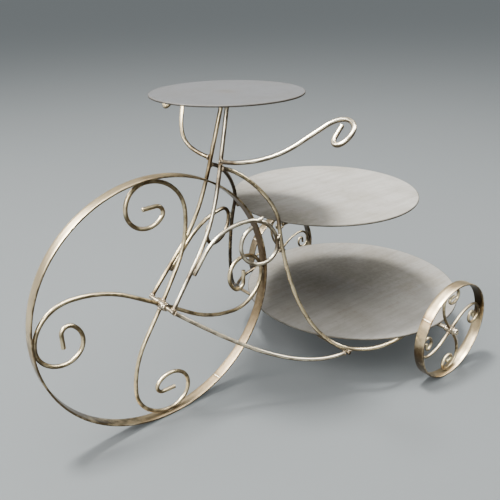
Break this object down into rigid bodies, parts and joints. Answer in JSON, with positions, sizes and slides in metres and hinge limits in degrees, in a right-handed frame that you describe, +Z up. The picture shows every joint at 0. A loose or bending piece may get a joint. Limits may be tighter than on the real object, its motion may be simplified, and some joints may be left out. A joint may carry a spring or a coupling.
{
  "type": "tricycle plant stand",
  "caption": "Three-tier plant stand in the shape of a tricycle: bent scrolled rod frame on free-turning scroll-spoked wheels, with round plates for pots.",
  "frame": {"origin": "on the floor under the middle of the stand's bounding box", "axes": "+X to the rear, +Y to the right-hand side, +Z up; the front wheel is at -X"},
  "size_m": [0.8239, 0.4764, 0.5],
  "materials": {
    "rods": "antique champagne lacquer over bent round bar, satin",
    "rims": "antique champagne lacquer over rolled flat bar, satin",
    "plates": "brushed pale grey-champagne lacquer on sheet metal, satin",
    "fittings": "antique champagne lacquer on turned fittings, satin"
  },
  "bodies": {
    "frame": {"fork_leg_left": "rods", "fork_leg_right": "rods", "handle_left": "rods", "handle_right": "rods", "backbone_left": "rods", "backbone_right": "rods", "side_scroll_left": "rods", "side_scroll_right": "rods", "stay_left": "rods", "front_crossbar": "rods", "middle_plate_bearer": "rods", "top_plate": "plates", "middle_plate": "plates", "lower_plate": "plates", "front_axle": "fittings", "front_collars": "fittings", "rear_axle": "fittings", "rear_collars": "fittings", "rear_cap_nuts": "fittings"},
    "front_wheel": {"front_rim": "rims", "front_hub": "fittings", "front_spoke_front": "rods", "front_spoke_lower": "rods", "front_spoke_rear": "rods", "front_spoke_upper": "rods"},
    "rear_left_wheel": {"rear_left_rim": "rims", "rear_left_hub": "fittings", "rear_left_spoke_front": "rods", "rear_left_spoke_lower": "rods", "rear_left_spoke_rear": "rods", "rear_left_spoke_upper": "rods"},
    "rear_right_wheel": {"rear_right_rim": "rims", "rear_right_hub": "fittings", "rear_right_spoke_front": "rods", "rear_right_spoke_lower": "rods", "rear_right_spoke_rear": "rods", "rear_right_spoke_upper": "rods"}
  },
  "joints": [
    {"name": "front_wheel_spin", "type": "hinge", "parent": "frame", "child": "front_wheel", "pos_m": [-0.212, 0, 0.2], "axis": [0, 1, 0], "continuous": true},
    {"name": "rear_left_wheel_spin", "type": "hinge", "parent": "frame", "child": "rear_left_wheel", "pos_m": [0.222, -0.22258, 0.088], "axis": [0, 1, 0], "continuous": true},
    {"name": "rear_right_wheel_spin", "type": "hinge", "parent": "frame", "child": "rear_right_wheel", "pos_m": [0.222, 0.22258, 0.088], "axis": [0, 1, 0], "continuous": true}
  ]
}
